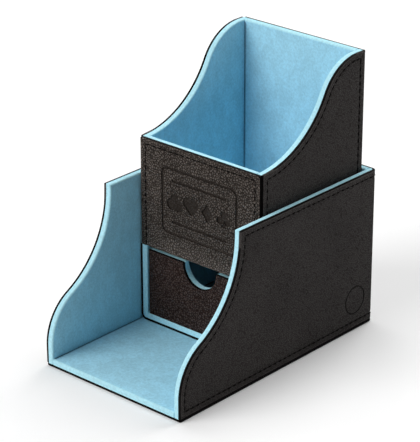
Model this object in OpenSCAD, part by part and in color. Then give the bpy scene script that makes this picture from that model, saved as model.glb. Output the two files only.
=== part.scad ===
// Card box with a drawer, standing in its open shell.
// Every wall is a greyboard core with a leather cover outside and a microfibre
// lining inside. The lining turns over each open edge of the board.
// The origin lies on the ground under the middle of the shell; the open tray
// and the drawer face -Y, and +Z is up.

/* [Card compartment] */
// Room across the compartment for a sleeved deck
comp_w = 71.4; // [60:0.2:100]
// Room from front to back in the compartment
comp_d = 70.6; // [50:0.2:110]
// Height of the back wall above the compartment's floor
comp_back_h = 98.6; // [92:0.2:130]
// Height of the front wall above the compartment's floor
comp_front_h = 55.6; // [50:0.1:70]

/* [Walls] */
// Thickness of the leather cover
leather_t = 1.4; // [0.8:0.1:2]
// Thickness of the greyboard core
board_t = 2.2; // [1.8:0.1:3]
// Thickness of the microfibre lining
lining_t = 0.7; // [0.4:0.1:1]
// How far the leather's cut edge stops short of the lined edge
edge_step = 0.1; // [0.1:0.1:0.8]

/* [Shell] */
// Open tray in front of the card box, from its face to the shell's front edge
tray_room = 63.3; // [50:0.1:90]
// Gap between the card box and each side of the shell
side_gap = 0.7; // [0.4:0.1:1.5]
// Gap between the card box and the back of the shell
back_gap = 0.7; // [0.4:0.1:1.5]
// How far the shell's walls rise past the card box's depth
shell_over = 1.3; // [0.5:0.1:4]
// Height of the upright stretch at the foot of the front edge
lip_h = 11.3; // [8:0.1:16]
// Upright stretch just below the top corner
top_straight = 3.2; // [2:0.1:8]
// How far the top corner lies behind the front edge
setback = 43; // [34:0.1:48]
// Radius of the lower, outward bend of the curved edge
shell_bend_r = 27.3; // [20:0.1:36]
// Outer radius of the upright back corners
shell_corner_r = 2.6; // [2.1:0.1:5]
// Outer radius of the sole's front corners
sole_corner_r = 1.2; // [0.5:0.1:3]
// Height of the seam between the sole and the cover
seam_gap = 0.3; // [0.1:0.1:0.6]

/* [Card box] */
// Height of the bay that holds the drawer
bay_h = 38.1; // [28:0.1:50]
// Level stretch at the back of each side's curved top edge
back_flat = 5; // [3:0.1:12]
// Radius of the upper, outward bend of the curved edge
box_bend_r = 28; // [20:0.1:36]
// Outer radius of the long bottom corners
box_corner_r = 3.2; // [2.1:0.1:4]
// How far the front and back leathers stop short of the sides
panel_inset = 0.9; // [0.3:0.1:1.2]
// Corner radius of the front and back leathers
panel_corner_r = 0.9; // [0.3:0.1:2]

/* [Drawer] */
// Gap on each side of the drawer
drawer_side_gap = 1.2; // [0.3:0.1:2]
// Gap above the drawer
drawer_top_gap = 2.1; // [0.3:0.1:2.5]
// Gap behind the drawer
drawer_back_gap = 1; // [0.5:0.1:3]
// How far the drawer's face lies behind the edges of the bay
drawer_recess = 0.3; // [0.1:0.1:3]
// Thickness of the leather under and round the drawer
drawer_leather_t = 0.8; // [0.6:0.1:1.2]
// Thickness of the drawer's greyboard, except in its front
drawer_board_t = 1.6; // [1:0.1:2.2]
// Outer radius of the drawer's long bottom corners
drawer_corner_r = 1.8; // [1.3:0.1:2.2]
// Width of the finger notch
notch_w = 21.5; // [14:0.1:21.6]
// Depth of the finger notch
notch_depth = 11.4; // [11.4:0.1:15]
// Radius of the notch's two top corners
notch_lip_r = 0.6; // [0.2:0.1:0.6]

/* [Magnets] */
// Diameter of the disc magnets
magnet_d = 15; // [8:0.5:18]
// Thickness of the disc magnets
magnet_t = 1.4; // [0.8:0.1:1.5]
// Gap round a magnet in its pocket
magnet_fit = 0.1; // [0.05:0.05:0.3]
// Distance of the magnets from the back of the shell
magnet_from_back = 15.3; // [15:0.1:30]
// Height of the magnets above the ground
magnet_up = 17; // [16:0.1:40]
// Ring mark over each magnet: how far outside the magnet it runs
ring_margin = 0.3; // [0:0.1:2]
// Width of the ring mark's line
ring_line = 0.7; // [0.4:0.1:1.2]
// Depth of the ring mark
ring_depth = 0.35; // [0.2:0.05:0.5]

/* [Hidden] */

leather_colour = "#33302d";
face_colour = "#3b332f";
board_colour = "#9a907f";
lining_colour = "#86c3dd";
magnet_colour = "#c9ccd0";

$fn = 96;
// How far a cut runs past the face that it opens
cut = 1;
// Length of the flat between the two bends of a curved edge
bend_flat = 1.5;

wall_t = leather_t + board_t + lining_t;
lined_t = board_t + lining_t;

// Card box: outer size and place
box_w = comp_w + 2 * wall_t;
box_d = comp_d + 2 * wall_t;
box_front_h = wall_t + bay_h + lined_t + comp_front_h;
box_h = wall_t + bay_h + lined_t + comp_back_h;

// Shell: outer size
shell_w = box_w + 2 * (side_gap + wall_t);
shell_d = tray_room + box_d + back_gap + wall_t;
shell_h = wall_t + box_d + shell_over;
shell_front = -shell_d / 2;
shell_back = shell_d / 2;
shell_in_w = shell_w - 2 * wall_t;
shell_in_back = shell_back - wall_t;

box_front = shell_front + tray_room;
box_back = box_front + box_d;
box_bottom = wall_t;
box_top = box_bottom + box_h;
box_front_top = box_bottom + box_front_h;

// The sides of the card box run between the front and the back leather. Below
// the front leather they come forward, level with its face.
side_front = box_front + leather_t;
side_back = box_back - leather_t;
bay_floor = box_bottom + wall_t;
bay_top = bay_floor + bay_h;
comp_floor = bay_top + lined_t;
comp_front = box_front + wall_t;
comp_back = box_back - wall_t;

// Drawer: outer size and place
drawer_w = comp_w - 2 * drawer_side_gap;
drawer_front = box_front + drawer_recess;
drawer_back = comp_back - drawer_back_gap;
drawer_bottom = bay_floor;
drawer_top = bay_top - drawer_top_gap;
drawer_face_back = drawer_front + leather_t + board_t;
drawer_wall_t = drawer_leather_t + drawer_board_t + lining_t;
drawer_in_w = drawer_w - 2 * drawer_wall_t;
drawer_in_front = drawer_face_back + lining_t;
drawer_in_back = drawer_back - drawer_wall_t;
drawer_in_floor = drawer_bottom + drawer_wall_t;

magnet_y = shell_back - magnet_from_back;

// ---- profiles --------------------------------------------------------------

// Region under the curved edge of a side. The edge runs level for `before`,
// bends up and back to level over `run` while it climbs `rise`, and runs level
// for `after`. The last bend has radius end_r, and the first one the radius
// that makes the two meet in line, where a short flat joins them. `inset`
// draws the region smaller along the curved edge and at its start.
module under_curve(before, run, after, rise, end_r, below, inset) {
  turn = 2 * atan(rise / run);
  start_r = run / sin(turn) - end_r;
  hollow_r = start_r + inset;
  round_r = end_r - inset;
  bend = [hollow_r * sin(turn), start_r - hollow_r * cos(turn)];
  slope = turn - asin(bend_flat / 2 / round_r);
  half_flat = bend_flat / 2 * [cos(slope), sin(slope)];
  flat_middle = bend + half_flat;
  flat_past = bend + 4 * half_flat;
  crest = rise - inset;
  difference() {
    translate([inset - before, -below])
      square([before + run + after - inset, below + crest]);
    polygon([
      [-before - cut, -inset], [0, -inset], bend - half_flat, flat_past,
      [flat_past[0], crest + cut], [-before - cut, crest + cut]
    ]);
    translate([0, start_r])
      circle(hollow_r);
    difference() {
      translate(flat_middle)
        square([run, crest + cut] - flat_middle);
      translate([run, rise - end_r])
        circle(round_r);
    }
  }
}

// Side of the shell, seen along X with Y to the right and Z up. `past` lets it
// run on past the back and the bottom, for a shape that cuts.
module shell_side_2d(inset, bottom, past = 0) {
  corner_z = shell_h - top_straight;
  translate([shell_front + setback, corner_z])
    mirror([1, 1, 0])
      under_curve(
        top_straight, corner_z - lip_h, lip_h - bottom + past,
        setback, shell_bend_r, shell_d - setback + past, inset
      );
}

// Side of the card box, seen the same way. It steps back for the front leather.
module box_side_2d(inset, bottom, past = 0) {
  translate([side_front, box_front_top])
    under_curve(
      0, side_back - side_front - back_flat, back_flat + past,
      box_top - box_front_top, box_bend_r, box_front_top - bottom + past, inset
    );
  translate([box_front + inset, bottom - past])
    square([leather_t + cut, bay_top - inset - bottom + past]);
}

// Rectangle from [x0, y0] to [x1, y1] with rounded corners: the radius at the
// two low-y corners, then at the two high-y corners
module rounded_2d(x0, y0, x1, y1, low_r, high_r) {
  difference() {
    translate([x0, y0])
      square([x1 - x0, y1 - y0]);
    for (side = [0, 1]) {
      if (low_r > 0)
        corner_waste_2d(side == 0 ? x0 : x1, y0, side == 0 ? 1 : -1, 1, low_r);
      if (high_r > 0)
        corner_waste_2d(side == 0 ? x0 : x1, y1, side == 0 ? 1 : -1, -1, high_r);
    }
  }
}

// What rounding takes off a square corner at [x, y]; sx and sy point inwards
module corner_waste_2d(x, y, sx, sy, r) {
  difference() {
    translate([x + (sx > 0 ? -cut : -r), y + (sy > 0 ? -cut : -r)])
      square(r + cut);
    translate([x + sx * r, y + sy * r])
      circle(r);
  }
}

// Finger notch in a face whose top edge is at y = 0, grown all round by `grow`
module notch_2d(grow) {
  r = notch_w / 2 + grow;
  lip = notch_lip_r - grow;
  centre = notch_w / 2 - notch_depth;
  translate([0, centre]) {
    circle(r);
    translate([-r, 0])
      square([2 * r, cut - centre]);
  }
  if (lip > 0)
    for (side = [-1, 1])
      corner_waste_2d(side * r, -grow, side, -1, lip);
}

// ---- placing ---------------------------------------------------------------

// Extrudes a shape drawn in Y and Z from x0 to x1
module along_x(x0, x1) {
  translate([x0, 0, 0])
    rotate([90, 0, 90])
      linear_extrude(x1 - x0)
        children();
}

// Extrudes a shape drawn in X and Z from y0 to y1
module along_y(y0, y1) {
  translate([0, y1, 0])
    rotate([90, 0, 0])
      linear_extrude(y1 - y0)
        children();
}

// Extrudes a shape drawn in X and Y from z0 to z1
module along_z(z0, z1) {
  translate([0, 0, z0])
    linear_extrude(z1 - z0)
      children();
}

// Block centred on x = 0
module slab(w, y0, y1, z0, z1) {
  translate([-w / 2, y0, z0])
    cube([w, y1 - y0, z1 - z0]);
}

// The left copy of a piece that is drawn on the right
module left() {
  mirror([1, 0, 0])
    children();
}

// Disc magnet whose outer face lies at x
module magnet(x, grow) {
  translate([x - magnet_t, magnet_y, magnet_up])
    rotate([0, 90, 0])
      cylinder(h = magnet_t + (grow > 0 ? cut : 0), r = magnet_d / 2 + grow);
}

// ---- shell -----------------------------------------------------------------

// Plan of the shell, drawn smaller all round by `inset`
module shell_plan_2d(inset) {
  rounded_2d(
    inset - shell_w / 2, shell_front - cut, shell_w / 2 - inset, shell_back - inset,
    0, shell_corner_r - inset
  );
}

module shell_sole() {
  color(leather_colour)
    along_z(0, leather_t)
      rounded_2d(
        -shell_w / 2, shell_front, shell_w / 2, shell_back,
        sole_corner_r, shell_corner_r
      );
}

// One leather round the left, the back and the right, with its two ring marks
module shell_cover() {
  color(leather_colour)
    difference() {
      intersection() {
        along_x(-shell_w / 2, shell_w / 2)
          shell_side_2d(edge_step, leather_t + seam_gap);
        along_z(leather_t, shell_h)
          difference() {
            shell_plan_2d(0);
            shell_plan_2d(leather_t);
          }
      }
      ring_mark();
      left() ring_mark();
    }
}

module ring_mark() {
  ring_r = magnet_d / 2 + ring_margin;
  translate([shell_w / 2 - ring_depth, magnet_y, magnet_up])
    rotate([0, 90, 0])
      difference() {
        cylinder(h = ring_depth + cut, r = ring_r);
        translate([0, 0, -cut])
          cylinder(h = ring_depth + 3 * cut, r = ring_r - ring_line);
      }
}

module shell_side_board() {
  outer = shell_w / 2 - leather_t;
  color(board_colour)
    difference() {
      intersection() {
        along_x(outer - board_t, outer)
          shell_side_2d(lining_t, leather_t);
        along_z(leather_t, shell_h)
          shell_plan_2d(leather_t);
      }
      magnet(outer, magnet_fit);
    }
}

// The lining covers the inner face and turns over the board's open edge, out
// to the leather
module shell_side_lining() {
  inner = shell_in_w / 2;
  color(lining_colour)
    intersection() {
      union() {
        along_x(inner, inner + lining_t)
          shell_side_2d(0, leather_t);
        along_x(inner + lining_t, inner + lined_t)
          difference() {
            shell_side_2d(0, leather_t);
            shell_side_2d(lining_t, leather_t, cut);
          }
      }
      along_z(leather_t, shell_h)
        shell_plan_2d(leather_t);
    }
}

module shell_back_board() {
  color(board_colour)
    slab(
      shell_in_w, shell_in_back + lining_t, shell_back - leather_t,
      leather_t, shell_h - lining_t
    );
}

module shell_back_lining() {
  color(lining_colour) {
    slab(shell_in_w, shell_in_back, shell_in_back + lining_t, wall_t, shell_h);
    slab(
      shell_in_w, shell_in_back, shell_back - leather_t,
      shell_h - lining_t, shell_h
    );
  }
}

module shell_floor_board() {
  color(board_colour)
    slab(
      shell_in_w, shell_front + lining_t, shell_in_back + lining_t,
      leather_t, leather_t + board_t
    );
}

module shell_floor_lining() {
  color(lining_colour) {
    slab(shell_in_w, shell_front, shell_in_back + lining_t, leather_t + board_t, wall_t);
    slab(shell_in_w, shell_front, shell_front + lining_t, leather_t, wall_t);
  }
}

module shell_magnets() {
  color(magnet_colour) {
    magnet(shell_w / 2 - leather_t, 0);
    left() magnet(shell_w / 2 - leather_t, 0);
  }
}

// ---- card box --------------------------------------------------------------

// Section of the card box across, drawn smaller all round by `inset`
module box_section_2d(inset) {
  rounded_2d(
    inset - box_w / 2, box_bottom + inset, box_w / 2 - inset, box_top + cut,
    box_corner_r - inset, 0
  );
}

// One leather down the left, under the base and up the right
module box_cover() {
  color(leather_colour)
    intersection() {
      along_x(-box_w / 2, box_w / 2)
        box_side_2d(edge_step, box_bottom);
      along_y(box_front, side_back)
        difference() {
          box_section_2d(0);
          box_section_2d(leather_t);
        }
    }
}

// Leather over the front or the back, from z0 to z1
module panel_leather(y0, z0, z1) {
  half = box_w / 2 - panel_inset;
  along_y(y0, y0 + leather_t)
    rounded_2d(-half, z0, half, z1, panel_corner_r, panel_corner_r);
}

module box_front_leather() {
  color(face_colour)
    panel_leather(box_front, bay_top, box_front_top - edge_step);
}

module box_back_leather() {
  color(leather_colour)
    panel_leather(side_back, box_bottom + panel_inset, box_top - edge_step);
}

module box_side_board() {
  outer = box_w / 2 - leather_t;
  color(board_colour)
    difference() {
      intersection() {
        along_x(outer - board_t, outer)
          box_side_2d(lining_t, box_bottom);
        along_y(box_front, side_back)
          box_section_2d(leather_t);
      }
      magnet(outer, magnet_fit);
    }
}

module box_side_lining() {
  inner = comp_w / 2;
  color(lining_colour)
    intersection() {
      union() {
        along_x(inner, inner + lining_t)
          box_side_2d(0, box_bottom);
        along_x(inner + lining_t, inner + lined_t)
          difference() {
            box_side_2d(0, box_bottom);
            box_side_2d(lining_t, box_bottom, cut);
          }
      }
      along_y(box_front, side_back)
        box_section_2d(leather_t);
    }
}

module box_front_board() {
  color(board_colour)
    slab(
      comp_w, side_front, comp_front - lining_t,
      bay_top, box_front_top - lining_t
    );
}

module box_front_lining() {
  color(lining_colour) {
    slab(comp_w, comp_front - lining_t, comp_front, comp_floor, box_front_top);
    slab(comp_w, side_front, comp_front, box_front_top - lining_t, box_front_top);
  }
}

module box_back_board() {
  color(board_colour)
    slab(
      comp_w, comp_back + lining_t, side_back,
      box_bottom + leather_t, box_top - lining_t
    );
}

module box_back_lining() {
  color(lining_colour) {
    slab(comp_w, comp_back, comp_back + lining_t, bay_floor, box_top);
    slab(comp_w, comp_back, side_back, box_top - lining_t, box_top);
  }
}

module box_base_board() {
  color(board_colour)
    slab(
      comp_w, box_front + lining_t, comp_back + lining_t,
      box_bottom + leather_t, bay_floor - lining_t
    );
}

module box_base_lining() {
  color(lining_colour) {
    slab(comp_w, box_front, comp_back + lining_t, bay_floor - lining_t, bay_floor);
    slab(comp_w, box_front, box_front + lining_t, box_bottom + leather_t, bay_floor);
  }
}

// The shelf is the floor of the compartment and the roof of the drawer's bay
module box_shelf_board() {
  color(board_colour)
    slab(comp_w, comp_front - lining_t, comp_back, bay_top, comp_floor - lining_t);
}

module box_shelf_lining() {
  color(lining_colour)
    slab(comp_w, comp_front - lining_t, comp_back, comp_floor - lining_t, comp_floor);
}

module box_magnets() {
  color(magnet_colour) {
    magnet(box_w / 2 - leather_t, 0);
    left() magnet(box_w / 2 - leather_t, 0);
  }
}

// ---- drawer ----------------------------------------------------------------

// Face of the drawer with its finger notch; `inset` lowers its top edge and
// widens the notch, for what the lining turns over
module drawer_face_2d(inset) {
  difference() {
    translate([-drawer_w / 2, drawer_bottom])
      square([drawer_w, drawer_top - inset - drawer_bottom]);
    translate([0, drawer_top])
      notch_2d(inset);
  }
}

module drawer_front_leather() {
  color(face_colour)
    along_y(drawer_front, drawer_front + leather_t)
      drawer_face_2d(0);
}

module drawer_front_board() {
  color(board_colour)
    along_y(drawer_front + leather_t, drawer_face_back)
      drawer_face_2d(lining_t);
}

// Skin behind the board, and the strip over its top edge and round the notch
module drawer_front_lining() {
  color(lining_colour) {
    along_y(drawer_face_back, drawer_in_front)
      intersection() {
        drawer_face_2d(0);
        translate([-drawer_in_w / 2, drawer_in_floor])
          square([drawer_in_w, drawer_top - drawer_in_floor]);
      }
    along_y(drawer_front + leather_t, drawer_face_back)
      difference() {
        drawer_face_2d(0);
        drawer_face_2d(lining_t);
      }
  }
}

// Section of the drawer behind its front, drawn smaller all round by `inset`
// but for its top edge
module drawer_section_2d(inset, top = drawer_top) {
  rounded_2d(
    inset - drawer_w / 2, drawer_bottom + inset, drawer_w / 2 - inset, top,
    drawer_corner_r - inset, 0
  );
}

// One leather down the left, under the floor and up the right
module drawer_cover() {
  color(leather_colour)
    along_y(drawer_face_back, drawer_back - drawer_leather_t)
      difference() {
        drawer_section_2d(0);
        drawer_section_2d(drawer_leather_t, drawer_top + cut);
      }
}

module drawer_back_leather() {
  color(leather_colour)
    along_y(drawer_back - drawer_leather_t, drawer_back)
      drawer_section_2d(0);
}

module drawer_side_board() {
  outer = drawer_w / 2 - drawer_leather_t;
  color(board_colour)
    intersection() {
      translate([outer - drawer_board_t, drawer_face_back, drawer_bottom])
        cube([
          drawer_board_t,
          drawer_back - drawer_leather_t - drawer_face_back,
          drawer_top - lining_t - drawer_bottom
        ]);
      along_y(drawer_face_back, drawer_back)
        drawer_section_2d(drawer_leather_t);
    }
}

module drawer_side_lining() {
  inner = drawer_in_w / 2;
  length = drawer_back - drawer_leather_t - drawer_face_back;
  color(lining_colour) {
    translate([inner, drawer_face_back, drawer_bottom + drawer_leather_t])
      cube([lining_t, length, drawer_top - drawer_bottom - drawer_leather_t]);
    translate([inner, drawer_face_back, drawer_top - lining_t])
      cube([lining_t + drawer_board_t, length, lining_t]);
  }
}

module drawer_back_board() {
  color(board_colour)
    slab(
      drawer_in_w, drawer_in_back + lining_t, drawer_back - drawer_leather_t,
      drawer_bottom + drawer_leather_t, drawer_top - lining_t
    );
}

module drawer_back_lining() {
  color(lining_colour) {
    slab(drawer_in_w, drawer_in_back, drawer_in_back + lining_t, drawer_in_floor, drawer_top);
    slab(
      drawer_in_w, drawer_in_back, drawer_back - drawer_leather_t,
      drawer_top - lining_t, drawer_top
    );
  }
}

module drawer_floor_board() {
  color(board_colour)
    slab(
      drawer_in_w, drawer_face_back, drawer_in_back + lining_t,
      drawer_bottom + drawer_leather_t, drawer_in_floor - lining_t
    );
}

module drawer_floor_lining() {
  color(lining_colour)
    slab(
      drawer_in_w, drawer_face_back, drawer_in_back + lining_t,
      drawer_in_floor - lining_t, drawer_in_floor
    );
}

// ---- what is drawn ---------------------------------------------------------

shell_sole();
shell_cover();
left() shell_side_board();  // shell_left_board
shell_side_board();  // shell_right_board
shell_back_board();
shell_floor_board();
left() shell_side_lining();  // shell_left_lining
shell_side_lining();  // shell_right_lining
shell_back_lining();
shell_floor_lining();
shell_magnets();
box_cover();
box_front_leather();
box_back_leather();
left() box_side_board();  // box_left_board
box_side_board();  // box_right_board
box_front_board();
box_back_board();
box_base_board();
box_shelf_board();
left() box_side_lining();  // box_left_lining
box_side_lining();  // box_right_lining
box_front_lining();
box_back_lining();
box_base_lining();
box_shelf_lining();
box_magnets();
drawer_front_leather();
drawer_cover();
drawer_back_leather();
drawer_front_board();
left() drawer_side_board();  // drawer_left_board
drawer_side_board();  // drawer_right_board
drawer_back_board();
drawer_floor_board();
drawer_front_lining();
left() drawer_side_lining();  // drawer_left_lining
drawer_side_lining();  // drawer_right_lining
drawer_back_lining();
drawer_floor_lining();
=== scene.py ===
import math
import random

import bmesh
import bpy
from bpy.props import FloatProperty, FloatVectorProperty, IntProperty, PointerProperty
from bpy.types import Operator, Panel, PropertyGroup
from mathutils import Matrix, Vector


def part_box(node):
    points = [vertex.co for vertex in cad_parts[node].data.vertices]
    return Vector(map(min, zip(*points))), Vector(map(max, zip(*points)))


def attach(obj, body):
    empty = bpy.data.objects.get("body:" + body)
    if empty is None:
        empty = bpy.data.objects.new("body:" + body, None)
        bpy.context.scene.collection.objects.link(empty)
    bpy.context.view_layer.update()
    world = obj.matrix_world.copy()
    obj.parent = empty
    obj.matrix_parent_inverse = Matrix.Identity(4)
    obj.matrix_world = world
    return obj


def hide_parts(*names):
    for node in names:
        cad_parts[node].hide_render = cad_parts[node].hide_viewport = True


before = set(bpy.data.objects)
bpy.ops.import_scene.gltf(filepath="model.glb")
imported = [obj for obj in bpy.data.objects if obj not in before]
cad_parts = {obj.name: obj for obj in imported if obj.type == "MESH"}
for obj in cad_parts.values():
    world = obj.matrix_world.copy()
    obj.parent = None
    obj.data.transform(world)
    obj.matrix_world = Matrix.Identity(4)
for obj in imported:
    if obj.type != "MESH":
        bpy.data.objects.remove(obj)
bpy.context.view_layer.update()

bl_info = {
    "name": "Card Box with Drawer",
    "version": (1, 0, 0),
    "blender": (4, 5, 0),
    "location": "View3D > Sidebar > Card Box",
    "description": "Dresses a leather card box, its drawer and its shell in leather, suede and thread",
    "category": "Object",
}

MM = 0.001
FORWARDS, UPWARDS = Vector((0, -1, 0)), Vector((0, 0, 1))

LININGS = {
    "shell": ["shell_left_lining", "shell_right_lining", "shell_back_lining", "shell_floor_lining"],
    "card_box": [
        "box_left_lining", "box_right_lining", "box_front_lining", "box_back_lining", "box_base_lining",
        "box_shelf_lining",
    ],
    "drawer": [
        "drawer_front_lining", "drawer_left_lining", "drawer_right_lining", "drawer_back_lining",
        "drawer_floor_lining",
    ],
}


def linear(hex_colour):
    """Linear RGBA of an sRGB colour written as #rrggbb."""
    parts = [int(hex_colour[i : i + 2], 16) / 255 for i in (1, 3, 5)]
    return (*[p / 12.92 if p <= 0.04045 else ((p + 0.055) / 1.055) ** 2.4 for p in parts], 1.0)


def length(name, description, millimetres):
    """A size property that the sidebar shows as a length."""
    return FloatProperty(
        name=name, description=description, default=millimetres * MM, min=0.0, unit="LENGTH", precision=5
    )


def colour(name, description, hex_colour):
    """A colour property whose default is written as sRGB hex."""
    return FloatVectorProperty(
        name=name, description=description, default=linear(hex_colour), subtype="COLOR", size=4, min=0, max=1
    )


class SewingSizes(PropertyGroup):
    """Sizes of the sewn edges of the leather."""

    rim_round: length("Rim rounding", "Radius sanded on the leather's outer edge", 0.45)
    welt: length("Welt", "Width of the raised strip outside the seam", 2.6)
    seam: length("Seam", "Width of the sunk seam", 1.0)
    sink: length("Seam depth", "How deep the thread pulls the seam in", 0.4)
    shoulder: length("Shoulder", "Width over which the leather rises again inside the seam", 1.6)
    run_off: length("Run-off", "How far the front panel is sewn past its bottom edge before that is cut", 9)
    pitch: length("Stitch pitch", "Distance from one stitch to the next", 3.8)
    stitch: length("Stitch length", "Length of thread that shows between two holes", 2.6)
    thread: length("Thread", "Thickness of the thread", 0.8)
    slant: FloatProperty(
        name="Stitch slant", description="Turn of each stitch against the seam", default=math.radians(4), subtype="ANGLE"
    )
    seed: IntProperty(name="Seed", description="Start of the small differences between stitches", default=7)


class LiningSizes(PropertyGroup):
    """Sizes of the lining where it turns over the boards."""

    inner_round: length("Inner rounding", "Radius on the edge towards the inside", 0.95)
    outer_round: length("Outer rounding", "Radius on the edge towards the leather", 0.45)
    # The width of the painted shade along the inner corners
    corner: length("Corner", "Width of the dark line along the inner corners", 1.4)


class PressedSizes(PropertyGroup):
    """Sizes of the pattern of card suits pressed into the front panel."""

    width: length("Frame width", "Outer width of the pressed frame", 50)
    height: length("Frame height", "Outer height of the pressed frame", 36)
    corner: length("Frame corner", "Outer corner radius of the pressed frame", 4)
    line: length("Line", "Width of the pressed lines", 1.3)
    depth: length("Depth", "How deep the pattern is pressed in", 0.6)
    suit: length("Suit size", "Height of each card suit", 9.6)


class Finishes(PropertyGroup):
    """Colours and grain of the materials."""

    face: colour("Face leather", "Leather of the front panel", "#5c534d")
    # The drawer's leather is the face leather made darker and redder: partly a redder tone, partly painted shade, as
    # the drawer's face sits lower, under the front panel
    drawer: colour("Drawer leather", "Leather of the drawer's face", "#392c28")
    cover: colour("Cover leather", "Leather of the sides, the back and the shell", "#3c3938")
    # The crease colour is painted shade, laid into the creases between the pebbles and along the sunk seam
    crease_shade: colour("Creases", "Leather in the creases between the pebbles", "#0c0807")
    edge: colour("Edge paint", "Painted cut edge of the leather", "#0a0808")
    lining: colour("Lining", "Microfibre lining", "#aadff3")
    lining_corner_shade: colour("Lining seam", "Lining in the shade of an inner corner", "#20405e")
    # Painted highlight: the lighter lining laid on the crests over the edges, which face the lamps
    lining_crest_highlight: colour("Lining crest", "Lining stretched over the edges", "#b8e9f6")
    board: colour("Greyboard", "Core of every wall", "#9a907f")
    thread: colour("Thread", "Sewing thread", "#080606")
    magnet: colour("Magnet", "Nickel plating of the disc magnets", "#c9ccd0")
    face_grain: length("Face grain", "Width of a pebble on the face leather", 1.3)
    cover_grain: length("Cover grain", "Width of a pebble on the cover leather", 1.05)


class StudioLook(PropertyGroup):
    """Camera, lamps and floor."""

    azimuth: FloatProperty(
        name="Azimuth", description="Camera's turn from the front to the right", default=math.radians(41.72), subtype="ANGLE"
    )
    elevation: FloatProperty(
        name="Elevation", description="Camera's angle above the horizon", default=math.radians(23.76), subtype="ANGLE"
    )
    distance: length("Distance", "From the camera to the point it looks at", 1078.15)
    target: FloatVectorProperty(
        name="Target", description="Point that the camera looks at", default=(-0.00201, 0, 0.06655), subtype="XYZ", unit="LENGTH"
    )
    lens: FloatProperty(name="Lens", description="Focal length in millimetres", default=176.76, subtype="DISTANCE_CAMERA")
    key: FloatProperty(name="Key lamp", description="Strength of the soft lamp at the front left", default=2.05)
    back: FloatProperty(name="Back lamp", description="Strength of the soft lamp behind", default=2.0)
    left: FloatProperty(name="Left lamp", description="Strength of the soft lamp on the left", default=0.75)
    top: FloatProperty(name="Top lamp", description="Strength of the soft lamp overhead", default=0.4)
    sky: FloatProperty(name="Surround", description="Light from all round", default=0.02)
    floor: colour("Floor", "Paper under the object", "#f2f2f2")
    lift: FloatProperty(name="Floor lift", description="White added to the floor where the camera sees it", default=0.09)


# ---- materials ---------------------------------------------------------------


def add(material, kind, settings, links):
    """Adds a node. Names in capitals and numbers are sockets, and the others are the node's own properties."""
    node = material.node_tree.nodes.new(kind)
    for key, value in settings.items():
        if isinstance(key, int) or key[0].isupper():
            node.inputs[key].default_value = value
        else:
            setattr(node, key, value)
    for key, source in links.items():
        material.node_tree.links.new(source, node.inputs[key])
    return node


def new_material(name):
    """An empty node material, or the one of that name if it has been made."""
    material = bpy.data.materials.get(name)
    if material:
        return material, False
    material = bpy.data.materials.new(name)
    material.use_nodes = True
    material.node_tree.nodes.clear()
    return material, True


def surface(material, settings, links):
    """Ends a material in a Principled shader."""
    shader = add(material, "ShaderNodeBsdfPrincipled", settings, links)
    add(material, "ShaderNodeOutputMaterial", {}, {"Surface": shader.outputs["BSDF"]})


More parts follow.
